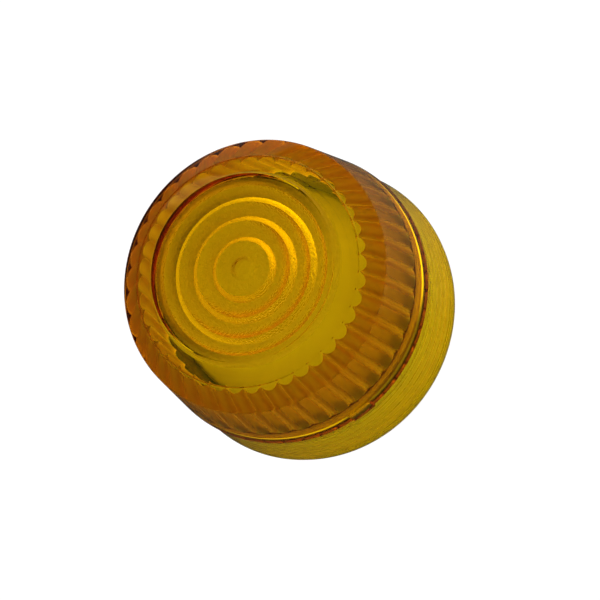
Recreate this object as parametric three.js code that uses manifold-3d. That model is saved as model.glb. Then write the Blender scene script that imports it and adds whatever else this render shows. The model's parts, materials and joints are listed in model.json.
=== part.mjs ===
// Small amber marker lamp with a screw-on lens cap, as it comes apart on a bench:
// lens, seals, threaded base, lamp board with its parts, reflector, diffuser and contacts.
// Millimetres, +Z out of the lens. The origin is the centre of the mounting face.

import * as THREE from 'three';
import { mergeVertices } from 'three/addons/utils/BufferGeometryUtils.js';
import Module from 'manifold-3d';

const wasm = await Module();
wasm.setup();

// ---------------------------------------------------------------- driving dimensions

const DEG = Math.PI / 180;

// Lens
const rimEnd = 0.4; // lens rim above the mounting face; the lens heights count up from it
const rimRadius = 15.0; // widest point of the lens skirt
const lensHeight = 21.4; // rim to the middle of the front dome
const wall = 2.0; // moulded wall of the lens
const fluteCount = 40;
const fluteDepth = 0.5;

// Screw thread
const threadPitch = 1.15; // one turn of the lens lifts it this much
const threadDepth = 0.5;
const threadGap = 0.25; // radial clearance between the two threads
const lensThreadRoot = 13.45;
const baseThreadCrest = lensThreadRoot - threadGap;
const baseThreadRoot = baseThreadCrest - threadDepth;

// Base
const baseFloor = 1.8;
const collarTop = 6.7;
const boreRadius = 11.5;
const ledgeRadius = 10.3; // inner edge of the ledge that carries the board
const mountHoleX = 7.8;
const mountHoleRadius = 1.7;
const wireHoleRadius = 3.0;
const sealGroove = { inner: 9.9, outer: 11.9, depth: 0.8 };

// Lamp board
const boardBottom = 5.0;
const boardTop = 6.0;
const boardRadius = 11.3;
const boardScrew = { pitchRadius: 9.0, angles: [45, 225], head: 1.3, shank: 0.8, bottom: 2.4 };
const ledCount = 6;
const ledPitchRadius = 4.6;

// Contacts
const pinY = 8.7;
const pin = { radius: 0.5, head: 0.9, bottom: 2.4 };
const terminal = { y: 5.6, shank: 1.2, head: 1.9, bottom: 0.4 };
const clipSheet = 0.4;

// Gaps
const touchGap = 0.05; // between faces that rest on each other
const sideGap = 0.15; // round a pin or screw in its hole

// Facets
const lensSegments = 60;
const roundSegments = 40;
const smallSegments = 16;
const threadRowsPerTurn = 6;

// ---------------------------------------------------------------- materials

function finish(color, roughness, metalness = 0) {
  return new THREE.MeshStandardMaterial({ color, roughness, metalness });
}

const amberPlastic = () => finish(0xc98a08, 0.12);
const blackRubber = () => finish(0x1c1712, 0.85);
const whiteHousing = () => finish(0xece9df, 0.45);
const opalPlastic = () => finish(0xf6f3ea, 0.5);
const whiteBoard = () => finish(0xf3f3ee, 0.4);
const ledBody = () => finish(0xf2b63a, 0.3);
const steel = () => finish(0xc4c6c8, 0.3, 1);
const brass = () => finish(0xc9a54c, 0.3, 1);
const blackMoulding = () => finish(0x202022, 0.5);
const tanMoulding = () => finish(0xb89868, 0.5);

// ---------------------------------------------------------------- solids

// Turns an outline of [radius, height] points about the Z axis.
function turned(outline, segments = roundSegments) {
  const points = outline.map(([radius, height]) => new THREE.Vector2(radius, height));
  return new THREE.LatheGeometry(points, segments).rotateX(Math.PI / 2);
}

function disc(radius, bottom, top, segments = smallSegments) {
  return turned([[0, bottom], [radius, bottom], [radius, top], [0, top]], segments);
}

function ring(inner, outer, bottom, top, segments = roundSegments) {
  return turned([[inner, bottom], [outer, bottom], [outer, top], [inner, top], [inner, bottom]], segments);
}

function block(width, depth, bottom, top) {
  return new THREE.BoxGeometry(width, depth, top - bottom).translate(0, 0, (bottom + top) / 2);
}

function at(geometry, x, y) {
  return geometry.translate(x, y, 0);
}

// Moves every vertex of a turned shape to the radius that shape(angle, height, radius) gives.
function reshaped(geometry, shape) {
  const position = geometry.attributes.position;
  for (let i = 0; i < position.count; i += 1) {
    const [x, y, z] = [position.getX(i), position.getY(i), position.getZ(i)];
    const radius = Math.hypot(x, y);
    if (radius > 1e-6) {
      const factor = shape(Math.atan2(y, x), z, radius) / radius;
      position.setXYZ(i, x * factor, y * factor, z);
    }
  }
  return geometry;
}

// The closed solid of a geometry, ready to join and cut.
function solid(geometry) {
  const bare = geometry.clone();
  bare.deleteAttribute('normal');
  bare.deleteAttribute('uv');
  const merged = mergeVertices(bare, 1e-4);
  const vertices = merged.attributes.position.array;
  const triangles = [];
  let volume = 0;
  for (let i = 0; i < merged.index.count; i += 3) {
    const [a, b, c] = [0, 1, 2].map((corner) => merged.index.getX(i + corner));
    if (a !== b && b !== c && c !== a) {
      triangles.push([a, b, c]);
      const [p, q, r] = [a, b, c].map((v) => new THREE.Vector3().fromArray(vertices, v * 3));
      volume += p.dot(q.cross(r));
    }
  }
  const facingOut = volume > 0 ? triangles : triangles.map(([a, b, c]) => [a, c, b]);
  return new wasm.Manifold(new wasm.Mesh({
    numProp: 3,
    vertProperties: new Float32Array(vertices),
    triVerts: new Uint32Array(facingOut.flat()),
  }));
}

function joined(...geometries) {
  return geometries.map(solid).reduce((whole, part) => whole.add(part));
}

function cut(body, ...geometries) {
  return geometries.map(solid).reduce((whole, part) => whole.subtract(part), body);
}

// A named node made from a finished solid.
function piece(name, body, material) {
  const mesh = body.getMesh();
  const geometry = new THREE.BufferGeometry();
  geometry.setAttribute('position', new THREE.BufferAttribute(new Float32Array(mesh.vertProperties), 3));
  geometry.setIndex(new THREE.BufferAttribute(new Uint32Array(mesh.triVerts), 1));
  geometry.computeVertexNormals();
  const node = new THREE.Mesh(geometry, material);
  node.name = name;
  return node;
}

// ---------------------------------------------------------------- screw thread

// How far the thread stands above its root at an angle and height, from 0 to 1.
// Both threads use it, so they stay in step all the way up the screw.
function threadWave(angle, height) {
  const turns = height / threadPitch - angle / (2 * Math.PI);
  return 0.5 + 0.5 * Math.cos(2 * Math.PI * turns);
}

// 1 inside a threaded stretch, falling to 0 over half a pitch at both ends.
function threadFade(height, low, high) {
  const reach = Math.min(height - low, high - height) / (threadPitch / 2);
  return Math.min(1, Math.max(0, reach));
}

function threadRows(radius, low, high) {
  const count = Math.round((high - low) / threadPitch * threadRowsPerTurn);
  return Array.from({ length: count + 1 }, (_, i) => [radius, low + (high - low) * i / count]);
}

// ---------------------------------------------------------------- lens cap

// Corners of the outside of the lens, as [radius, height].
const rimFoot = [14.45, rimEnd];
const rimChamfer = [14.82, rimEnd + 0.5];
const skirtWidest = [rimRadius, rimEnd + 1.5];
const skirtTop = [14.22, rimEnd + 8.15];
const bodyEdge = [14.6, rimEnd + 8.5];
const frontCorner = [13.33, rimEnd + 17.45];
const bandCrease = [11.25, rimEnd + 19.06];
const domeEdge = [9.17, rimEnd + 20.45];
const domeTop = rimEnd + lensHeight;

const shoulder = rimEnd + 7.3; // inside step that presses on the seal
const neckBore = 12.45;
const leadInRadius = lensThreadRoot + 0.35;
const lensThreadLow = rimEnd + 0.6;
const fluteBottom = rimEnd + 9.6;
const fluteTop = rimEnd + 17.6;
const fluteRadius = { bottom: 12.4, top: 10.95 }; // to the bottom of the flutes
const fluteArc = 0.93; // share of a half circle that each flute's hollow takes up
const ringRiser = 0.3; // width of the steep inner side of each ring
const gateStub = { depth: 1.2, width: 2.3, height: 1.5, radius: 14.1, angle: -111 };

// Concentric rings inside the front. Each hangs lowest near its inner radius and fades outward.
const rings = [
  { inner: 8.1, outer: 9.1, height: 0.45 },
  { inner: 6.49, outer: 8.1, height: 0.75 },
  { inner: 4.61, outer: 6.49, height: 0.85 },
  { inner: 2.63, outer: 4.61, height: 0.85 },
];
function domeHeight(radius) {
  return domeTop - (domeTop - domeEdge[1]) * (radius / domeEdge[0]) ** 2;
}

function lensOutside() {
  const dome = [0.75, 0.5, 0.25].map((part) => [domeEdge[0] * part, domeHeight(domeEdge[0] * part)]);
  return turned([
    [0, rimEnd],
    rimFoot,
    rimChamfer,
    skirtWidest,
    skirtTop,
    bodyEdge,
    frontCorner,
    bandCrease,
    domeEdge,
    ...dome,
    [0, domeTop],
  ], lensSegments);
}

// Bore of the skirt: a lead-in at the rim, the thread, and a plain relief under the shoulder.
function skirtBore() {
  const bore = turned([
    [0, rimEnd - 1],
    [leadInRadius, rimEnd - 1],
    [leadInRadius, rimEnd],
    ...threadRows(lensThreadRoot, lensThreadLow, collarTop),
    [lensThreadRoot, shoulder],
    [0, shoulder],
  ]);
  return reshaped(bore, (angle, height, radius) => {
    return radius - threadDepth * threadWave(angle, height) * threadFade(height, lensThreadLow, collarTop);
  });
}

// Height of the inside of the front wall.
function ceiling(radius) {
  if (radius > domeEdge[0]) {
    const slope = (domeEdge[1] - frontCorner[1]) / (frontCorner[0] - domeEdge[0]);
    return frontCorner[1] - wall + (frontCorner[0] - radius) * slope;
  }
  return domeHeight(radius) - wall;
}

function frontInside() {
  const steps = rings.flatMap(({ inner, outer, height }) => {
    const lowest = inner + ringRiser;
    const middle = (inner + outer) / 2;
    return [
      [middle, ceiling(middle) - height * 0.65],
      [lowest, ceiling(lowest) - height * 0.9],
      [inner, ceiling(inner)],
    ];
  });
  return turned([
    [0, shoulder],
    [frontCorner[0], shoulder],
    [frontCorner[0], ceiling(frontCorner[0])],
    [rings[0].outer, ceiling(rings[0].outer)],
    ...steps,
    [0, ceiling(0)],
  ], lensSegments);
}

// Inner wall: upright hollow flutes that meet in narrow ridges, tapered from bottom to top.
function fluteBore() {
  const bore = turned([
    [0, fluteBottom],
    [fluteRadius.bottom, fluteBottom],
    [fluteRadius.top, fluteTop],
    [0, fluteTop],
  ], fluteCount * 4);
  const hollow = (across) => 1 - Math.sqrt(1 - (fluteArc * across) ** 2);
  return reshaped(bore, (angle, height, radius) => {
    const across = Math.abs(Math.asin(Math.sin(fluteCount * angle / 2))) / (Math.PI / 2);
    return radius - fluteDepth * hollow(across) / hollow(1);
  });
}

// What the moulding gate leaves at the lower edge of the body.
function gateBlock() {
  const { depth, width, height, radius, angle } = gateStub;
  const bottom = bodyEdge[1] - 0.1;
  return block(depth, width, bottom, bottom + height).translate(radius, 0, 0).rotateZ(angle * DEG);
}

function lensCap() {
  const neck = disc(neckBore, shoulder - 1, fluteBottom + 0.01, roundSegments);
  const inside = solid(fluteBore()).intersect(solid(frontInside()))
    .add(solid(skirtBore()))
    .add(solid(neck));
  const body = joined(lensOutside(), gateBlock()).subtract(inside);
  return piece('lens_cap', body, amberPlastic());
}

// ---------------------------------------------------------------- seals

const gasket = {
  inner: 11.35,
  flange: 13.2,
  lip: 12.3,
  lipTop: rimEnd + 9.4,
  tip: 11.65,
  tipTop: rimEnd + 10.4,
};

// Angle-section ring: a flat flange under the lens shoulder and a lip up inside the neck,
// which ends in a thinner tip inside the flutes.
function lensGasket() {
  const bottom = collarTop + touchGap;
  const top = shoulder - touchGap;
  const section = turned([
    [gasket.inner, bottom],
    [gasket.flange, bottom],
    [gasket.flange, top],
    [gasket.lip, top],
    [gasket.lip, gasket.lipTop],
    [gasket.tip, gasket.lipTop],
    [gasket.tip, gasket.tipTop],
    [gasket.inner, gasket.tipTop],
    [gasket.inner, bottom],
  ]);
  return piece('lens_gasket', solid(section), blackRubber());
}

// Flat ring, flush with the mounting face.
function rearSeal() {
  const { inner, outer, depth } = sealGroove;
  const seal = ring(inner + 0.1, outer - 0.1, 0, depth - touchGap);
  return piece('rear_seal', solid(seal), blackRubber());
}

// ---------------------------------------------------------------- base

const chamfer = 0.3;
const baseThreadLow = 1.0;
const baseThreadHigh = collarTop - 0.15;
const screwBoss = { radius: 1.7, bore: 0.9 };

function threadedCollar() {
  const outside = turned([
    [0, 0],
    [baseThreadCrest - chamfer, 0],
    [baseThreadCrest, chamfer],
    [baseThreadCrest, baseThreadLow - 0.1],
    ...threadRows(baseThreadRoot, baseThreadLow, baseThreadHigh),
    [baseThreadRoot - 0.2, collarTop],
    [0, collarTop],
  ]);
  return reshaped(outside, (angle, height, radius) => {
    const groove = 1 - threadWave(angle, height);
    return radius + threadDepth * groove * threadFade(height, baseThreadLow, baseThreadHigh);
  });
}

function boardScrewPlaces() {
  return boardScrew.angles.map((angle) => [
    boardScrew.pitchRadius * Math.cos(angle * DEG),
    boardScrew.pitchRadius * Math.sin(angle * DEG),
  ]);
}

// Threaded cup with a ledge for the board, screw bosses, a seal groove and its holes.
function baseHousing() {
  const above = collarTop + 1;
  let body = cut(
    solid(threadedCollar()),
    disc(boreRadius, boardBottom, above, roundSegments),
    disc(ledgeRadius, baseFloor, above, roundSegments),
    ring(sealGroove.inner, sealGroove.outer, -1, sealGroove.depth),
    disc(wireHoleRadius, -1, baseFloor + 1),
  );
  for (const [x, y] of boardScrewPlaces()) {
    body = body.add(solid(at(disc(screwBoss.radius, baseFloor - 0.2, boardBottom), x, y)));
    body = cut(body, at(disc(screwBoss.bore, baseFloor, above), x, y));
  }
  for (const side of [-1, 1]) {
    body = cut(
      body,
      at(disc(mountHoleRadius, -1, baseFloor + 1), side * mountHoleX, 0),
      at(disc(terminal.shank + sideGap, -1, baseFloor + 1), 0, side * terminal.y),
    );
  }
  return piece('base_housing', body, whiteHousing());
}

// ---------------------------------------------------------------- contacts

// Brass pin pressed through the board, with a low head.
function contactPin(name, side) {
  const body = joined(
    disc(pin.radius, pin.bottom, boardTop + 0.3),
    disc(pin.head, boardTop + touchGap, boardTop + 0.35),
  );
  return piece(name, body.translate([0, side * pinY, 0]), brass());
}

// Spring clip: a foot held by the terminal screw, and two upright arms that grip the pin.
function contactClip(name, side) {
  const bottom = baseFloor + touchGap;
  const foot = { width: 3.6, length: 5.6, y: 7.0 };
  const arm = { length: 2.0, top: 4.3, gap: 1.1 };
  const arms = [-1, 1].map((hand) => at(
    block(clipSheet, arm.length, bottom, arm.top),
    hand * (arm.gap + clipSheet) / 2,
    pinY,
  ));
  const sheet = joined(at(block(foot.width, foot.length, bottom, bottom + clipSheet), 0, foot.y), ...arms);
  const clip = cut(sheet, at(disc(terminal.shank + sideGap, 0, arm.top), 0, terminal.y));
  return piece(name, side > 0 ? clip : clip.rotate([0, 0, 180]), brass());
}

// Slotted screw that holds the clip and a supply wire.
function terminalScrew(name, side) {
  const seat = baseFloor + clipSheet + 2 * touchGap;
  const headTop = seat + 1.0;
  const screw = cut(
    joined(disc(terminal.shank, terminal.bottom, seat + 0.2), disc(terminal.head, seat, headTop)),
    block(0.5, 5, headTop - 0.4, headTop + 1),
  );
  return piece(name, screw.translate([0, side * terminal.y, 0]), steel());
}

// ---------------------------------------------------------------- lamp board

function circuitBoard() {
  const through = (radius, x, y) => at(disc(radius, boardBottom - 1, boardTop + 1), x, y);
  const board = cut(
    solid(disc(boardRadius, boardBottom + touchGap, boardTop, roundSegments)),
    ...boardScrewPlaces().map(([x, y]) => through(boardScrew.shank + 2 * sideGap, x, y)),
    ...[-1, 1].map((side) => through(pin.radius + 0.1, 0, side * pinY)),
  );
  return piece('circuit_board', board, whiteBoard());
}

// Cross-recessed screw.
function lampBoardScrew(name, [x, y]) {
  const seat = boardTop + touchGap;
  const headTop = seat + 0.9;
  const slot = 0.4;
  const screw = cut(
    joined(disc(boardScrew.shank, boardScrew.bottom, seat + 0.2), disc(boardScrew.head, seat, headTop)),
    block(slot, 4, headTop - slot, headTop + 1),
    block(4, slot, headTop - slot, headTop + 1),
  );
  return piece(name, screw.translate([x, y, 0]), steel());
}

// Square package with a low clear dome.
function led(name, angle) {
  const bottom = boardTop + touchGap;
  const top = bottom + 0.8;
  const dome = turned([
    [0, top - 0.1],
    [1.1, top - 0.1],
    [0.95, top + 0.35],
    [0.5, top + 0.62],
    [0, top + 0.7],
  ], smallSegments);
  const body = joined(block(3.0, 2.8, bottom, top), dome);
  return piece(name, body.translate([ledPitchRadius, 0, 0]).rotate([0, 0, angle]), ledBody());
}

// A moulded part soldered under the board, with a metal end at each side.
function underBoardPart(name, [x, y], [width, depth, height], material) {
  const lead = { reach: 0.35, height: 0.6, width: 0.8 * depth };
  const body = joined(
    block(width, depth, boardBottom - height, boardBottom - 0.1),
    block(width + 2 * lead.reach, lead.width, boardBottom - lead.height, boardBottom),
  );
  return piece(name, body.translate([x, y, 0]), material);
}

// ---------------------------------------------------------------- optics

const cupFoot = boardTop + touchGap;

// Short tube round the LEDs that opens into a cone.
function reflector() {
  const bend = cupFoot + 1.2;
  const lip = 8.3;
  const cup = turned([
    [6.9, cupFoot],
    [7.6, cupFoot],
    [7.6, bend],
    [9.8, lip],
    [9.2, lip],
    [6.9, bend],
    [6.9, cupFoot],
  ]);
  return piece('reflector', solid(cup), whiteHousing());
}

// Opal cup over the reflector, open below, with a gently domed top low in the lens.
function lightDiffuser() {
  const cup = turned([
    [10.4, cupFoot],
    [11.2, cupFoot],
    [11.1, 8.7],
    [10.7, 9.1],
    [5.5, 9.4],
    [0, 9.5],
    [0, 8.7],
    [5.5, 8.6],
    [10.2, 8.4],
    [10.4, cupFoot],
  ]);
  return piece('light_diffuser', solid(cup), opalPlastic());
}

// ---------------------------------------------------------------- assembly

const markerLamp = new THREE.Group();
markerLamp.add(lensCap(), lensGasket(), rearSeal(), baseHousing());
markerLamp.add(circuitBoard(), reflector(), lightDiffuser());

for (let i = 0; i < ledCount; i += 1) {
  markerLamp.add(led(`led_${i + 1}`, i * 360 / ledCount));
}

[1, -1].forEach((side, i) => {
  markerLamp.add(contactPin(`contact_pin_${i + 1}`, side));
  markerLamp.add(contactClip(`contact_clip_${i + 1}`, side));
  markerLamp.add(terminalScrew(`terminal_screw_${i + 1}`, side));
});

boardScrewPlaces().forEach((place, i) => {
  markerLamp.add(lampBoardScrew(`board_screw_${i + 1}`, place));
});

// Drive parts: place on the board, then width, depth and height.
markerLamp.add(underBoardPart('rectifier', [4.9, -5.0], [3.4, 3.2, 1.9], blackMoulding()));
markerLamp.add(underBoardPart('capacitor', [-4.9, 5.0], [3.2, 2.8, 2.2], tanMoulding()));
markerLamp.add(underBoardPart('resistor_1', [-4.9, -2.4], [2.6, 1.6, 0.7], blackMoulding()));
markerLamp.add(underBoardPart('resistor_2', [4.9, 2.4], [2.6, 1.6, 0.7], blackMoulding()));

export default markerLamp;
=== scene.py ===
"""Amber marker lamp: the fine surfaces and materials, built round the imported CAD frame."""

import json
import math

import bmesh
import bpy
import numpy as np
from mathutils import Matrix, Vector


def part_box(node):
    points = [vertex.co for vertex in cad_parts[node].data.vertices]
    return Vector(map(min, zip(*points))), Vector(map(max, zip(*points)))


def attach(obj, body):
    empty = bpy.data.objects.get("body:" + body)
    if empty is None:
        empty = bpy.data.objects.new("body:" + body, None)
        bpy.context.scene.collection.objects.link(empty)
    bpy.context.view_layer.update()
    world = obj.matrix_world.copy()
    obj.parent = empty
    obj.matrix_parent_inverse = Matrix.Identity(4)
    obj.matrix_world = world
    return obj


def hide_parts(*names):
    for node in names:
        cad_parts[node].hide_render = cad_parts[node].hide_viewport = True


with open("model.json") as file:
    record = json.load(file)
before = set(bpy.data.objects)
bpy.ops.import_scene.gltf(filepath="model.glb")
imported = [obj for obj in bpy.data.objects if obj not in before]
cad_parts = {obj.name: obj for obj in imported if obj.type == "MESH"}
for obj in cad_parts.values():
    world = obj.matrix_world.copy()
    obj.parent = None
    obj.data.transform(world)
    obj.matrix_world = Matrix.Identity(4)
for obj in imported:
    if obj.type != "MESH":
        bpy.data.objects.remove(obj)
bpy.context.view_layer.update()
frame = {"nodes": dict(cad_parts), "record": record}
nodes = frame["nodes"]

MM = 0.001
TAU = 2 * math.pi

# ------------------------------------------------------------------ sizes
# Lengths are in millimetres and angles in degrees. Sections are lists of (radius, height).

lens_low, lens_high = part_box("lens_cap")
RIM_RADIUS = lens_high.x / MM
LENS_RIM = lens_low.z / MM

# Outside of the lens as in the CAD, with heights above its rim. The lead-in to the thread is a
# width and a height.
RIM_EDGE = ((14.82, 0.5), (14.45, 0))
LEAD_IN = (0.35, 0.5)
SKIRT_WIDEST_HEIGHT = 1.5
SKIRT_TOP = (14.22, 8.15)
BODY_EDGE = (14.6, 8.5)
FRONT_CORNER = (13.33, 17.45)
BAND_CREASE = (11.25, 19.06)
DOME_EDGE = (9.17, 20.45)
DOME_TOP = (lens_high.z - lens_low.z) / MM
WALL = 2.0
OUTSIDE_FILLET = 0.16
GATE_STUB = {"radius": 14.7, "angle": -111, "half_turn": 4.6, "bottom": 8.4, "top": 9.9}
# Fine raised lines along the dome's edge and the band's crease, which the CAD doesn't have.
BEAD_HALF_WIDTH = 0.11
BEAD_HEIGHT = 0.08
BEAD_SLOPE = 0.7
BEAD_APPROACH = 0.25

# Thread shared by lens and base.
THREAD_PITCH = 1.15
THREAD_DEPTH = 0.5
THREAD_ROWS = 110

# Inside of the lens, with heights above its rim. A thread runs from one height to another.
LENS_THREAD = (0.6, 6.3)
LENS_THREAD_ROOT = 13.45
THREAD_RUN_OUT = 0.2
SHOULDER = 7.3
NECK_BORE = 12.45
NECK_FILLET = 0.15
FLUTE_BOTTOM = 9.6
FLUTE_TOP = 17.6
FLUTE_RADIUS_LOW = 12.4
FLUTE_RADIUS_TOP = 10.95
FLUTE_COUNT = 40
FLUTE_DEPTH = 0.5
FLUTE_ARC = 0.93
FLUTE_GAP = 0.05

# Each ring of the front: inner radius, outer radius and how far it hangs down. The rings are
# lower than in the CAD, and the riser, their steep inner side, is wider.
RING_STEPS = (
    (8.1, 9.1, 0.12),
    (6.49, 8.1, 0.65),
    (4.61, 6.49, 0.75),
    (2.63, 4.61, 0.75),
    (0.7, 2.63, 0.2),
)
RING_RISER = 0.48
RING_CURVE = 2.5

# How finely the lens is divided.
FLUTE_SEGMENTS = 12
LENS_SEGMENTS = FLUTE_COUNT * FLUTE_SEGMENTS
DOME_RADII = np.linspace(0.4, DOME_EDGE[0] - 0.3, 14)
BODY_LEVELS = (GATE_STUB["top"] + 0.04, GATE_STUB["top"], 9.6, 9.2, 8.8)
FLUTE_ROWS = 9
FLUTE_TOP_PASSES = 20
BAND_ROWS = 6
BAND_INNER = DOME_EDGE[0] + 0.15
RING_RADII = np.linspace(DOME_EDGE[0], 0.25, 72)
RISER_CLEARANCE = 0.05
BEFORE_RISER = 0.02
AFTER_RISER = 0.03

# Base and what stands on it, with heights above the mounting face. The groove is an inner radius,
# an outer radius and a depth; the ledge two radii and a height; each hole an x, a y and a radius.
BASE_CREST = 13.2
BASE_CHAMFER = 0.2
BASE_THREAD = (1.0, 6.55)
BASE_THREAD_GAPS = (0.1, 0.02)
BASE_FILLET = 0.12
COLLAR_TOP = 6.7
COLLAR_TAPER = 0.05
BASE_FLOOR = 1.8
BASE_SEGMENTS = 180
WIRE_HOLE = 3.0
WIRE_HOLE_EDGES = (0.6, 0.8)
SEAL_GROOVE = (9.9, 11.9, 0.8)
BASE_HOLES = ((7.8, 0, 1.7), (-7.8, 0, 1.7), (0, 5.6, 1.35), (0, -5.6, 1.35))
HOLE_CHAMFER = 0.15
HOLE_SEGMENTS = 40
CUTTER_OVERRUN = 1
BOARD_LEDGE = (10.3, 11.5, 5.0)
CUP_FOOT = 6.05
# The shoulder gasket is a real seal, and also painted shade: its dark rubber lip, standing up along
# the neck wall, shows through the amber as the dark band and patches below the body edge.
GASKET_SECTION = (
    (11.35, 6.75), (13.2, 6.75), (13.2, 7.65), (12.3, 7.65),
    (12.3, 9.8), (11.65, 9.8), (11.65, 10.8), (11.35, 10.8),
)
GASKET_FILLET = 0.1
GASKET_SEGMENTS = 160
SEAL_SECTION = ((10, 0), (11.8, 0), (11.8, 0.75), (10, 0.75))
SEAL_FILLET = 0.15
SEAL_SEGMENTS = 120
DIFFUSER_TOP = 9.5
DIFFUSER_CEILING = 8.7
DIFFUSER_SECTION = (
    (2, 9.49), (5.5, 9.4), (10.7, 9.1), (11.1, 8.7), (11.2, CUP_FOOT),
    (10.4, CUP_FOOT), (10.2, 8.4), (5.5, 8.6), (2, 8.68),
)
DIFFUSER_FILLET = 0.2
DIFFUSER_SEGMENTS = 120
REFLECTOR_SECTION = (
    (6.9, CUP_FOOT), (7.6, CUP_FOOT), (7.6, 7.25), (9.8, 8.3), (9.2, 8.3), (6.9, 7.25),
)
REFLECTOR_FILLET = 0.12
REFLECTOR_SEGMENTS = 96

# Mesh settings: points on a fillet, the share of an edge that one fillet may take up, and the
# angle in degrees from which an edge is shaded sharp.
FILLET_STEPS = 4
FILLET_SHARE = 0.45
LENS_SHARP_ANGLE = 25
SHARP_ANGLE = 35


# ------------------------------------------------------------------ mesh helpers

def new_object(name, verts, faces):
    mesh = bpy.data.meshes.new(name)
    mesh.from_pydata([tuple(v) for v in verts], [], faces)
    mesh.update()
    bm = bmesh.new()
    bm.from_mesh(mesh)
    bmesh.ops.recalc_face_normals(bm, faces=bm.faces)
    bm.to_mesh(mesh)
    bm.free()
    obj = bpy.data.objects.new(name, mesh)
    bpy.context.scene.collection.objects.link(obj)
    return obj


def smooth(obj, sharp_angle):
    obj.data.shade_smooth()
    obj.data.set_sharp_from_angle(angle=math.radians(sharp_angle))
    return obj


def turned(name, rows, segments, closed=False):
    """A surface of revolution about Z. Each row is (radius, height) in millimetres, both numbers or
    arrays over the angle; a radius of 0 makes a pole. closed joins the last row to the first."""
    angles = np.linspace(0, TAU, segments, endpoint=False)
    verts, faces, starts = [], [], []
    for radius, height in rows:
        pole = np.isscalar(radius) and radius == 0
        starts.append((len(verts), pole))
        if pole:
            verts.append((0, 0, float(np.mean(height)) * MM))
        else:
            r = np.broadcast_to(radius, segments) * MM
            z = np.broadcast_to(height, segments) * MM
            verts.extend(zip(r * np.cos(angles), r * np.sin(angles), z))
    pairs = list(zip(starts, starts[1:]))
    if closed:
        pairs.append((starts[-1], starts[0]))
    for (a, a_pole), (b, b_pole) in pairs:
        for i in range(segments):
            j = (i + 1) % segments
            if a_pole:
                faces.append((a, b + j, b + i))
            elif b_pole:
                faces.append((b, a + i, a + j))
            else:
                faces.append((a + i, a + j, b + j, b + i))
    return new_object(name, verts, faces)


def hole_cutter(x, y, radius, low, high):
    """An upright round bar with a chamfer that widens it at the low end."""
    start, end = low - CUTTER_OVERRUN, high + CUTTER_OVERRUN
    wide = radius + HOLE_CHAMFER
    cutter = turned("cutter", [
        (0, start),
        (wide, start),
        (wide, low),
        (radius, low + HOLE_CHAMFER),
        (radius, end),
        (0, end),
    ], HOLE_SEGMENTS)
    cutter.location = (x * MM, y * MM, 0)
    return cutter


def drilled(obj, holes, low, high):
    """Cuts upright round holes, each (x, y, radius)."""
    cutters = [hole_cutter(*hole, low, high) for hole in holes]
    for cutter in cutters:
        modifier = obj.modifiers.new("hole", "BOOLEAN")
        modifier.operation = "DIFFERENCE"
        modifier.object = cutter
    whole = obj.evaluated_get(bpy.context.evaluated_depsgraph_get())
    mesh = bpy.data.meshes.new_from_object(whole)
    obj.modifiers.clear()
    obj.data = mesh
    for cutter in cutters:
        bpy.data.objects.remove(cutter)
    return obj


def filleted(outline, radius):
    """The outline with each inner corner rounded by an arc-like curve."""
    points = [Vector(p) for p in outline]
    out = [points[0]]
    for before, corner, after in zip(points, points[1:], points[2:]):
        shorter = min((corner - before).length, (after - corner).length)
        reach = min(radius, shorter * FILLET_SHARE)
        start = corner + (before - corner).normalized() * reach
        end = corner + (after - corner).normalized() * reach
        for i in range(FILLET_STEPS + 1):
            t = i / FILLET_STEPS
            out.append(start * (1 - t) ** 2 + corner * 2 * t * (1 - t) + end * t ** 2)
    out.append(points[-1])
    return [tuple(p) for p in out]


def looped(outline, radius):
    """A closed outline with every corner rounded."""
    return filleted([outline[-1], *outline, outline[0]], radius)[1:-1]


# ------------------------------------------------------------------ node helpers

def new_material(name):
    material = bpy.data.materials.new(name)
    material.use_nodes = True
    tree = material.node_tree
    return material, tree, tree.nodes["Principled BSDF"]


def add_node(tree, kind, **inputs):
    node = tree.nodes.new(kind)
    for key, value in inputs.items():
        node.inputs[key.replace("_", " ")].default_value = value
    return node


def noise_node(tree, scale, detail):
    where = tree.nodes.new("ShaderNodeTexCoord")
    noise = add_node(tree, "ShaderNodeTexNoise", Scale=scale, Detail=detail)
    tree.links.new(where.outputs["Object"], noise.inputs["Vector"])
    return noise.outputs["Fac"]


def ramp_node(tree, source, stops):
    """A colour ramp with two stops, each (position, colour)."""
    ramp = tree.nodes.new("ShaderNodeValToRGB")
    for element, (position, color) in zip(ramp.color_ramp.elements, stops):
        element.position = position
        element.color = (*color, 1)
    tree.links.new(source, ramp.inputs["Fac"])
    return ramp.outputs["Color"]


def grey(value):
    return (value, value, value)


def add_bump(tree, shader, source, depth):
    """Bumps of a depth in millimetres; gives back the input that sets how strong they are."""
    bump = add_node(tree, "ShaderNodeBump", Distance=depth * MM)
    tree.links.new(source, bump.inputs["Height"])
    tree.links.new(bump.outputs["Normal"], shader.inputs["Normal"])
    return bump.inputs["Strength"]


def step_between(tree, source, low, high, at_low, at_high):
    """A value that runs from at_low to at_high while the source runs from low to high."""
    step = add_node(
        tree, "ShaderNodeMapRange",
        From_Min=low, From_Max=high, To_Min=at_low, To_Max=at_high,
    )
    tree.links.new(source, step.inputs["Value"])
    return step.outputs["Result"]


def combined(tree, operation, first, *others):
    """The values joined one after another by a math operation."""
    for other in others:
        node = tree.nodes.new("ShaderNodeMath")
        node.operation = operation
        tree.links.new(first, node.inputs[0])
        tree.links.new(other, node.inputs[1])
        first = node.outputs["Value"]
    return first


def position_parts(tree, output):
    """X, Y and Z of one output of the texture coordinates."""
    where = tree.nodes.new("ShaderNodeTexCoord")
    split = tree.nodes.new("ShaderNodeSeparateXYZ")
    tree.links.new(where.outputs[output], split.inputs["Vector"])
    return split.outputs


# ------------------------------------------------------------------ lens cap

def dome_height(radius):
    return DOME_TOP - (DOME_TOP - DOME_EDGE[1]) * (radius / DOME_EDGE[0]) ** 2


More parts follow.
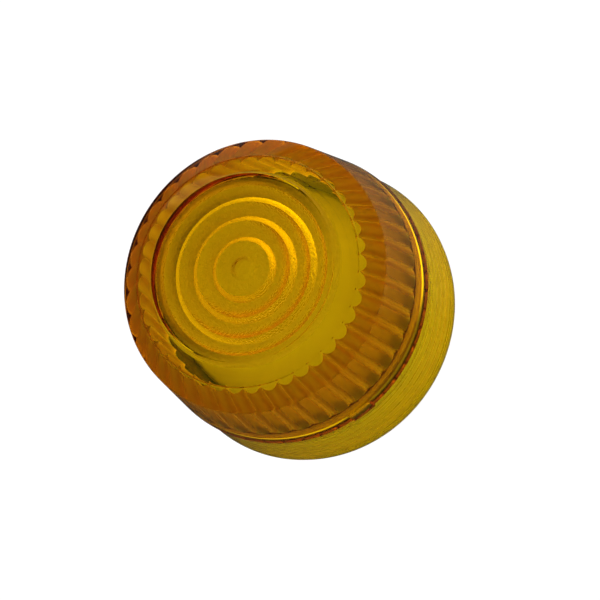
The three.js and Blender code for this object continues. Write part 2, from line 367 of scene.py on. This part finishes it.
def ceiling(radius):
    """Height of the plain inside face of the front wall."""
    slope = (DOME_EDGE[1] - FRONT_CORNER[1]) / (FRONT_CORNER[0] - DOME_EDGE[0])
    cone = FRONT_CORNER[1] + (FRONT_CORNER[0] - radius) * slope
    return np.where(np.asarray(radius) > DOME_EDGE[0], cone, dome_height(radius)) - WALL


def ring_drop(radius):
    """How far the concentric steps hang below the ceiling: steep on the inside of each ring."""
    for ring, end, height in RING_STEPS:
        if ring <= radius < end:
            part = (radius - ring) / (end - ring)
            rise = min(1, (radius - ring) / RING_RISER)
            return height * rise * (1 - part ** RING_CURVE)
    return 0.0


def ring_radii():
    """Radii across the ringed middle: evenly spaced, but with rows of their own on each riser."""
    radii = set(np.round(RING_RADII, 3))
    for ring, _, _ in RING_STEPS:
        full = ring + RING_RISER
        radii = {r for r in radii if not ring - RISER_CLEARANCE < r < full + RISER_CLEARANCE}
        radii |= {ring - BEFORE_RISER, ring, ring + RING_RISER / 2, full, full + AFTER_RISER}
    return sorted(radii, reverse=True)


def thread_wave(angles, height):
    """0 to 1 along the screw thread that lens and base share, by height over the mounting face."""
    turns = height / THREAD_PITCH - angles / TAU
    return 0.5 + 0.5 * np.cos(TAU * turns)


def thread_fade(height, low, high):
    """0 to 1 over the first half pitch of the thread, and back to 0 over the last."""
    return min(1, max(0, min(height - low, high - height) / (THREAD_PITCH / 2)))


def with_stub(radius, height, angles):
    """Outer radius with the small flat stub that the mould gate leaves at the body edge."""
    if not GATE_STUB["bottom"] <= height <= GATE_STUB["top"]:
        return radius
    turn = (np.degrees(angles) - GATE_STUB["angle"] + 180) % 360 - 180
    return np.where(abs(turn) < GATE_STUB["half_turn"], GATE_STUB["radius"], radius)


def beaded(edge):
    """An edge of the front with a fine raised line along it."""
    radius, height = edge
    fall = BEAD_SLOPE * BEAD_HALF_WIDTH
    return [
        (radius - BEAD_HALF_WIDTH, height + fall),
        (radius, height + BEAD_HEIGHT),
        (radius + BEAD_HALF_WIDTH, height - fall),
    ]


def outside_rows(angles):
    """From the middle of the dome down the outside and round the rim to the thread."""
    approach = DOME_EDGE[0] - BEAD_APPROACH
    outline = filleted([
        (approach, dome_height(approach)),
        *beaded(DOME_EDGE),
        *beaded(BAND_CREASE),
        FRONT_CORNER,
        BODY_EDGE,
        SKIRT_TOP,
        (RIM_RADIUS, SKIRT_WIDEST_HEIGHT),
        *RIM_EDGE,
        (LENS_THREAD_ROOT + LEAD_IN[0], 0),
        (LENS_THREAD_ROOT, LEAD_IN[1]),
    ], OUTSIDE_FILLET)
    taper = (BODY_EDGE[0] - FRONT_CORNER[0]) / (FRONT_CORNER[1] - BODY_EDGE[1])
    body = [(BODY_EDGE[0] - (z - BODY_EDGE[1]) * taper, z) for z in BODY_LEVELS]
    split = next(i for i, (_, z) in enumerate(outline) if z < BODY_LEVELS[-1])
    rows = [(0, DOME_TOP)]
    rows += [(r, dome_height(r)) for r in DOME_RADII]
    for radius, height in outline[1:split] + body + outline[split:]:
        rows.append((with_stub(radius, height, angles), height))
    return rows


def threaded_bore_rows(angles):
    """Up the thread, then in over the shoulder and up the neck."""
    low, high = LENS_THREAD
    rows = []
    for height in np.linspace(low, high, THREAD_ROWS):
        rise = thread_fade(height, low, high) * thread_wave(angles, height + LENS_RIM)
        rows.append((LENS_THREAD_ROOT - THREAD_DEPTH * rise, height))
    rows += filleted([
        (LENS_THREAD_ROOT, high + THREAD_RUN_OUT),
        (LENS_THREAD_ROOT, SHOULDER),
        (NECK_BORE, SHOULDER),
        (NECK_BORE, FLUTE_BOTTOM - FLUTE_GAP),
    ], NECK_FILLET)
    return rows


def fluted_wall(height, angles):
    """Radius of the bore: round hollows side by side that meet in narrow ridges."""
    taper = (FLUTE_RADIUS_LOW - FLUTE_RADIUS_TOP) / (FLUTE_TOP - FLUTE_BOTTOM)
    across = 2 * ((angles / TAU * FLUTE_COUNT + 0.5) % 1) - 1
    rise = (1 - np.sqrt(1 - (FLUTE_ARC * across) ** 2)) / (1 - math.sqrt(1 - FLUTE_ARC ** 2))
    return FLUTE_RADIUS_LOW - (height - FLUTE_BOTTOM) * taper - FLUTE_DEPTH * rise


def flute_tops(angles):
    """Heights at which the fluted wall meets the ceiling; each pass comes closer to them."""
    top = np.full(LENS_SEGMENTS, FLUTE_TOP)
    for _ in range(FLUTE_TOP_PASSES):
        top = ceiling(fluted_wall(top, angles))
    return top


def fluted_rows(angles):
    top = flute_tops(angles)
    rows = []
    for t in np.linspace(0, 1, FLUTE_ROWS):
        height = FLUTE_BOTTOM + (top - FLUTE_BOTTOM) * t
        rows.append((fluted_wall(height, angles), height))
    return rows


def ceiling_rows(angles):
    """Under the sloping band from the flutes inward, then over the rings to the middle."""
    edge = fluted_wall(flute_tops(angles), angles)
    rows = []
    for t in np.linspace(0, 1, BAND_ROWS)[1:]:
        radius = edge + (BAND_INNER - edge) * t
        rows.append((radius, ceiling(radius)))
    for radius in ring_radii():
        rows.append((radius, float(ceiling(radius)) - ring_drop(radius)))
    rows.append((0, float(ceiling(0.0))))
    return rows


def lens_rows():
    """The whole skin of the lens, with heights above the mounting face."""
    angles = np.linspace(0, TAU, LENS_SEGMENTS, endpoint=False)
    rows = outside_rows(angles) + threaded_bore_rows(angles)
    rows += fluted_rows(angles) + ceiling_rows(angles)
    return [(radius, height + LENS_RIM) for radius, height in rows]


# Where the lens is frosted, and where the fluted bore takes a tint of painted shade: each mask
# fades between two radii or two heights over the mounting face, in millimetres, or between two
# values of the normal's Z.
RINGS_WITHIN = (8.9, 9.1)
RINGS_BELOW = (20.2, 20.3)
FLUTES_WITHIN = (12.9, 13.0)
FLUTES_BELOW = (17.9, 18.0)
FLUTES_ABOVE = (9.9, 10.0)
UPRIGHT = (0.45, 0.5)
THREAD_WITHIN = (13.8, 13.9)
THREAD_BELOW = (6.9, 7.1)

AMBER = (0.9933, 0.957, 0.0, 1)
AMBER_DENSITY = 3000.0
AMBER_IOR = 1.49
CLEAR_ROUGHNESS = 0.03
FROST_ROUGHNESS = 0.32
FROST_BUMP = 1.0
FROST_GRAIN = {"scale": 4500, "detail": 3}
FROST_DEPTH = 0.06
FLUTE_ROUGHNESS = 0.48
# Painted shade: the fluted bore is tinted a deeper orange, standing in for the dimmer light that
# reaches it along long paths through the walls.
FLUTE_SHADE_TINT = (1, 0.58, 0.2)
THREAD_ROUGHNESS = 0.7


def below(tree, source, limits):
    """1 below the limits, which are in millimetres, and 0 above them."""
    return step_between(tree, source, limits[0] * MM, limits[1] * MM, 1, 0)


def above(tree, source, limits):
    """0 below the limits, which are in millimetres, and 1 above them."""
    return step_between(tree, source, limits[0] * MM, limits[1] * MM, 0, 1)


def distance_from_axis(tree, position):
    flat = tree.nodes.new("ShaderNodeCombineXYZ")
    tree.links.new(position["X"], flat.inputs["X"])
    tree.links.new(position["Y"], flat.inputs["Y"])
    distance = tree.nodes.new("ShaderNodeVectorMath")
    distance.operation = "LENGTH"
    tree.links.new(flat.outputs["Vector"], distance.inputs[0])
    return distance.outputs["Value"]


def upright_faces(tree):
    """1 on faces that stand upright, 0 on level and sloping ones."""
    level = tree.nodes.new("ShaderNodeMath")
    level.operation = "ABSOLUTE"
    tree.links.new(position_parts(tree, "Normal")["Z"], level.inputs[0])
    return step_between(tree, level.outputs["Value"], UPRIGHT[0], UPRIGHT[1], 1, 0)


def lens_zones(tree):
    """Three masks over the lens: 1 on the ringed inside of the front, on the fluted bore, and on
    the threaded skirt."""
    position = position_parts(tree, "Object")
    radius = distance_from_axis(tree, position)
    height = position["Z"]
    rings = combined(
        tree, "MULTIPLY",
        below(tree, radius, RINGS_WITHIN),
        below(tree, height, RINGS_BELOW),
    )
    flutes = combined(
        tree, "MULTIPLY",
        below(tree, radius, FLUTES_WITHIN),
        below(tree, height, FLUTES_BELOW),
        above(tree, height, FLUTES_ABOVE),
        upright_faces(tree),
    )
    thread = combined(
        tree, "MULTIPLY",
        below(tree, radius, THREAD_WITHIN),
        below(tree, height, THREAD_BELOW),
    )
    return rings, flutes, thread


def inside_zone(tree, zone, outside, inside):
    """One value outside a mask and another inside it."""
    return step_between(tree, zone, 0, 1, outside, inside)


def absorbing_volume(tree):
    absorb = add_node(tree, "ShaderNodeVolumeAbsorption", Color=AMBER, Density=AMBER_DENSITY)
    tree.links.new(absorb.outputs["Volume"], tree.nodes["Material Output"].inputs["Volume"])


def amber_material():
    material, tree, shader = new_material("amber_lens")
    shader.inputs["Base Color"].default_value = (1.0, 1.0, 1.0, 1)
    shader.inputs["Transmission Weight"].default_value = 1.0
    shader.inputs["IOR"].default_value = AMBER_IOR
    rings, flutes, thread = lens_zones(tree)
    roughness = combined(
        tree, "ADD",
        inside_zone(tree, rings, CLEAR_ROUGHNESS, FROST_ROUGHNESS),
        inside_zone(tree, flutes, 0, FLUTE_ROUGHNESS - CLEAR_ROUGHNESS),
        inside_zone(tree, thread, 0, THREAD_ROUGHNESS),
    )
    tree.links.new(roughness, shader.inputs["Roughness"])
    # Painted shade: the base colour of the fluted bore is tinted a deeper orange.
    painted_shade = ramp_node(tree, flutes, ((0, grey(1)), (1, FLUTE_SHADE_TINT)))
    tree.links.new(painted_shade, shader.inputs["Base Color"])
    strength = add_bump(tree, shader, noise_node(tree, **FROST_GRAIN), FROST_DEPTH)
    tree.links.new(inside_zone(tree, rings, 0, FROST_BUMP), strength)
    absorbing_volume(tree)
    return material


def make_lens():
    lens = smooth(turned("amber_lens_cap", lens_rows(), LENS_SEGMENTS), LENS_SHARP_ANGLE)
    lens.data.materials.append(amber_material())
    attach(lens, "lens")
    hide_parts("lens_cap")


# ------------------------------------------------------------------ seals, base and cups

def base_underside():
    """From the wire hole across the mounting face, with its seal groove, to the thread."""
    inner, outer, depth = SEAL_GROOVE
    return filleted([
        (WIRE_HOLE, WIRE_HOLE_EDGES[0]),
        (WIRE_HOLE, 0),
        (inner, 0),
        (inner, depth),
        (outer, depth),
        (outer, 0),
        (BASE_CREST - BASE_CHAMFER, 0),
        (BASE_CREST, BASE_CHAMFER),
        (BASE_CREST, BASE_THREAD[0] - BASE_THREAD_GAPS[0]),
    ], BASE_FILLET)


def base_inside(root):
    """Over the collar and down the stepped bore to the wire hole."""
    inner, outer, ledge = BOARD_LEDGE
    return filleted([
        (root, BASE_THREAD[1] + BASE_THREAD_GAPS[1]),
        (root - COLLAR_TAPER, COLLAR_TOP),
        (outer, COLLAR_TOP),
        (outer, ledge),
        (inner, ledge),
        (inner, BASE_FLOOR),
        (WIRE_HOLE, BASE_FLOOR),
        (WIRE_HOLE, WIRE_HOLE_EDGES[1]),
    ], BASE_FILLET)


def base_rows():
    """Round the section of the base: mounting face, threaded outside, then the stepped bore."""
    angles = np.linspace(0, TAU, BASE_SEGMENTS, endpoint=False)
    low, high = BASE_THREAD
    root = BASE_CREST - THREAD_DEPTH
    rows = base_underside()
    for height in np.linspace(low, high, THREAD_ROWS):
        rise = thread_fade(height, low, high) * (1 - thread_wave(angles, height))
        rows.append((root + THREAD_DEPTH * rise, height))
    return rows + base_inside(root)


def finished(obj, node, body, slot, finishes):
    """Gives smooth shading and the finish of the slot, sets the object on its body, and hides the
    CAD node that it stands for.
    """
    smooth(obj, SHARP_ANGLE)
    obj.data.materials.clear()
    obj.data.materials.append(finishes[slot])
    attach(obj, body)
    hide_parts(node)


def make_base(finishes):
    base = turned("threaded_base", base_rows(), BASE_SEGMENTS, closed=True)
    base = drilled(base, BASE_HOLES, 0, BASE_FLOOR)
    finished(base, "base_housing", "base", "white_housing", finishes)


def make_seals(finishes):
    # Partly painted shade: the dark lip of this gasket shows through the lens as the dark band
    # below the body edge.
    section = looped(GASKET_SECTION, GASKET_FILLET)
    gasket = turned("shoulder_gasket", section, GASKET_SEGMENTS, closed=True)
    finished(gasket, "lens_gasket", "seal_ring", "black_rubber", finishes)
    section = looped(SEAL_SECTION, SEAL_FILLET)
    seal = turned("mounting_seal", section, SEAL_SEGMENTS, closed=True)
    finished(seal, "rear_seal", "base", "black_rubber", finishes)


def make_cups(finishes):
    wall = filleted(DIFFUSER_SECTION, DIFFUSER_FILLET)
    section = [(0, DIFFUSER_TOP), *wall, (0, DIFFUSER_CEILING)]
    diffuser = turned("opal_cup", section, DIFFUSER_SEGMENTS)
    finished(diffuser, "light_diffuser", "base", "opal_plastic", finishes)
    section = looped(REFLECTOR_SECTION, REFLECTOR_FILLET)
    reflector = turned("reflector_cup", section, REFLECTOR_SEGMENTS, closed=True)
    finished(reflector, "reflector", "base", "white_housing", finishes)


# ------------------------------------------------------------------ finishes

# Plastics and rubber: colour, roughness and how much darker the cloudy parts are.
PLASTICS = {
    # This dark rubber on the gasket lip seen through the lens is also painted shade.
    "black_rubber": ((0.08, 0.03, 0.012), 0.75, 0.3),
    "white_housing": ((0.85, 0.84, 0.79), 0.45, 0.04),
    "white_board": ((0.8, 0.8, 0.77), 0.4, 0.04),
    "opal_plastic": ((0.6, 0.64, 0.5), 0.5, 0.04),
    "led_body": ((0.85, 0.5, 0.08), 0.3, 0.04),
    "black_moulding": ((0.015, 0.015, 0.016), 0.5, 0.3),
    "tan_moulding": ((0.48, 0.32, 0.14), 0.5, 0.04),
}
# Metals: colour and roughness.
METALS = {
    "brass": ((0.58, 0.38, 0.09), 0.3),
    "plated_steel": ((0.55, 0.56, 0.56), 0.3),
}
# Fine noise in the finishes. Smears take a metal's roughness from one share of it to the other.
NOISE_RANGE = (0.3, 0.7)
CLOUDS = {"scale": 220, "detail": 3}
GRAIN = {"scale": 3000, "detail": 2}
GRAIN_STRENGTH = 0.04
GRAIN_DEPTH = 0.04
SMEARS = {"scale": 900, "detail": 3}
SMEAR_RANGE = (0.8, 1.3)


def plastic_material(name, color, roughness, variation):
    material, tree, shader = new_material(name)
    darker = [c * (1 - variation) for c in color]
    clouds = ramp_node(tree, noise_node(tree, **CLOUDS), zip(NOISE_RANGE, (darker, color)))
    tree.links.new(clouds, shader.inputs["Base Color"])
    shader.inputs["Roughness"].default_value = roughness
    strength = add_bump(tree, shader, noise_node(tree, **GRAIN), GRAIN_DEPTH)
    strength.default_value = GRAIN_STRENGTH
    return material


def metal_material(name, color, roughness):
    material, tree, shader = new_material(name)
    low, high = (grey(roughness * part) for part in SMEAR_RANGE)
    smears = ramp_node(tree, noise_node(tree, **SMEARS), zip(NOISE_RANGE, (low, high)))
    tree.links.new(smears, shader.inputs["Roughness"])
    shader.inputs["Base Color"].default_value = (*color, 1)
    shader.inputs["Metallic"].default_value = 1.0
    return material


def make_finishes():
    made = {slot: plastic_material(slot, *look) for slot, look in PLASTICS.items()}
    made.update({slot: metal_material(slot, *look) for slot, look in METALS.items()})
    return made


def finish_nodes(finishes):
    """Gives the CAD nodes, those kept as they are among them, the finish of their slot."""
    for subpart in frame["record"]["subparts"]:
        slot = subpart["material_slot"]
        if slot in finishes:
            node = nodes[subpart["node"]]
            node.data.materials.clear()
            node.data.materials.append(finishes[slot])


# ------------------------------------------------------------------ stage, light and camera

WHITE = (1, 1, 1, 1)
FLOOR_RADIUS = 900
FLOOR_SEGMENTS = 64
FLOOR_DROP = 0.02
FLOOR_GREY = 0.8
FLOOR_SEEN = 1.05
# The floor's mirror reflection: its strength on the -X side and on the +X side, and where along X,
# in millimetres, it changes from one to the other.
FLOOR_REFLECTED = (0.02, 0.15)
FLOOR_FADE = (8, 30)
SKY = 0.3
SKY_TOP = 0.45
SKY_TOP_FADE = (0.5, 0.9)
# Broad soft lights: the axis they lie along, where each fades in and is full, and its strength.
SKY_SIDES = (
    ("X", 0.4, 0.8, 2.8),
    ("X", -0.4, -0.8, 0.9),
    ("Y", 0.4, 0.8, 0.8),
    ("Y", -0.4, -0.8, 0.8),
)
SKY_REFLECTED = 0.02


def reflected_ray(tree):
    """1 for a mirror reflection, 0 for what is seen directly or through the lens."""
    path = tree.nodes.new("ShaderNodeLightPath")
    return combined(
        tree, "MULTIPLY", path.outputs["Is Glossy Ray"], path.outputs["Is Reflection Ray"])


def mixed_shaders(tree, factor, first, second):
    mix = tree.nodes.new("ShaderNodeMixShader")
    tree.links.new(factor, mix.inputs[0])
    tree.links.new(first, mix.inputs[1])
    tree.links.new(second, mix.inputs[2])
    return mix.outputs[0]


def floor_shader(tree):
    """White as the camera sees it, faint in mirror reflections, and plain grey to other light."""
    plain = add_node(tree, "ShaderNodeBsdfDiffuse", Color=(*grey(FLOOR_GREY), 1))
    mirrored = add_node(tree, "ShaderNodeEmission", Color=WHITE)
    along = position_parts(tree, "Object")["X"]
    start, end = FLOOR_FADE
    strength = step_between(tree, along, start * MM, end * MM, *FLOOR_REFLECTED)
    tree.links.new(strength, mirrored.inputs["Strength"])
    white = add_node(tree, "ShaderNodeEmission", Color=WHITE, Strength=FLOOR_SEEN)
    path = tree.nodes.new("ShaderNodeLightPath")
    soft = mixed_shaders(tree, reflected_ray(tree), plain.outputs[0], mirrored.outputs[0])
    return mixed_shaders(tree, path.outputs["Is Camera Ray"], soft, white.outputs[0])


def make_floor():
    floor = turned("floor", [(0, 0), (FLOOR_RADIUS, 0)], FLOOR_SEGMENTS)
    floor.location.z = -FLOOR_DROP * MM
    material, tree, shader = new_material("floor")
    tree.nodes.remove(shader)
    tree.links.new(floor_shader(tree), tree.nodes["Material Output"].inputs["Surface"])
    floor.data.materials.append(material)


def make_world():
    """Soft light from all round, brighter overhead and in a broad light on each of four sides."""
    world = bpy.data.worlds.new("studio")
    world.use_nodes = True
    tree = world.node_tree
    direction = position_parts(tree, "Generated")
    strength = step_between(tree, direction["Z"], *SKY_TOP_FADE, SKY, SKY_TOP)
    for axis, near, far, amount in SKY_SIDES:
        side = step_between(tree, direction[axis], near, far, 0, amount)
        strength = combined(tree, "ADD", strength, side)
    direct = add_node(tree, "ShaderNodeBackground", Color=WHITE)
    tree.links.new(strength, direct.inputs["Strength"])
    mirrored = add_node(tree, "ShaderNodeBackground", Color=WHITE, Strength=SKY_REFLECTED)
    both = mixed_shaders(tree, reflected_ray(tree), direct.outputs[0], mirrored.outputs[0])
    tree.links.new(both, tree.nodes["World Output"].inputs["Surface"])
    bpy.context.scene.world = world


# The camera looks at the front of the lens from a little off its axis, on the -Y side, rolled so
# that the lens faces up and to the left. VIEW_FOCUS places the middle of the front corner circle,
# counted to the right and down from the middle of the view.
VIEW_TILT = math.radians(24.5)
VIEW_ROLL = math.radians(33.0)
VIEW_DISTANCE = 236.3
VIEW_FOCUS = (-4.48, -2.37)
FOCAL_LENGTH = 150.0
SENSOR_WIDTH = 36.0
CLIP_METRES = (0.01, 10.0)


def make_camera():
    data = bpy.data.cameras.new("camera")
    data.lens = FOCAL_LENGTH
    data.sensor_width = SENSOR_WIDTH
    data.clip_start, data.clip_end = CLIP_METRES
    camera = bpy.data.objects.new("camera", data)
    bpy.context.scene.collection.objects.link(camera)
    sin_t, cos_t = math.sin(VIEW_TILT), math.cos(VIEW_TILT)
    sin_r, cos_r = math.sin(VIEW_ROLL), math.cos(VIEW_ROLL)
    # Rows are the camera's right, down and forward directions; columns the object's X, Y and Z.
    to_camera = Matrix((
        (sin_r, -cos_t * cos_r, -sin_t * cos_r),
        (-cos_r, -cos_t * sin_r, -sin_t * sin_r),
        (0.0, sin_t, -cos_t),
    ))
    corner = Vector((0, 0, LENS_RIM + FRONT_CORNER[1])) * MM
    seen_at = Vector((VIEW_FOCUS[0], VIEW_FOCUS[1], VIEW_DISTANCE)) * MM
    place = corner - to_camera.transposed() @ seen_at
    right, down, forward = (Vector(row) for row in to_camera)
    turn = Matrix((right, -down, -forward)).transposed()
    camera.matrix_world = Matrix.Translation(place) @ turn.to_4x4()
    bpy.context.scene.camera = camera


make_camera()
make_floor()
make_world()
make_lens()
finishes = make_finishes()
make_base(finishes)
make_seals(finishes)
make_cups(finishes)
finish_nodes(finishes)
bpy.context.scene.view_settings.view_transform = "Standard"
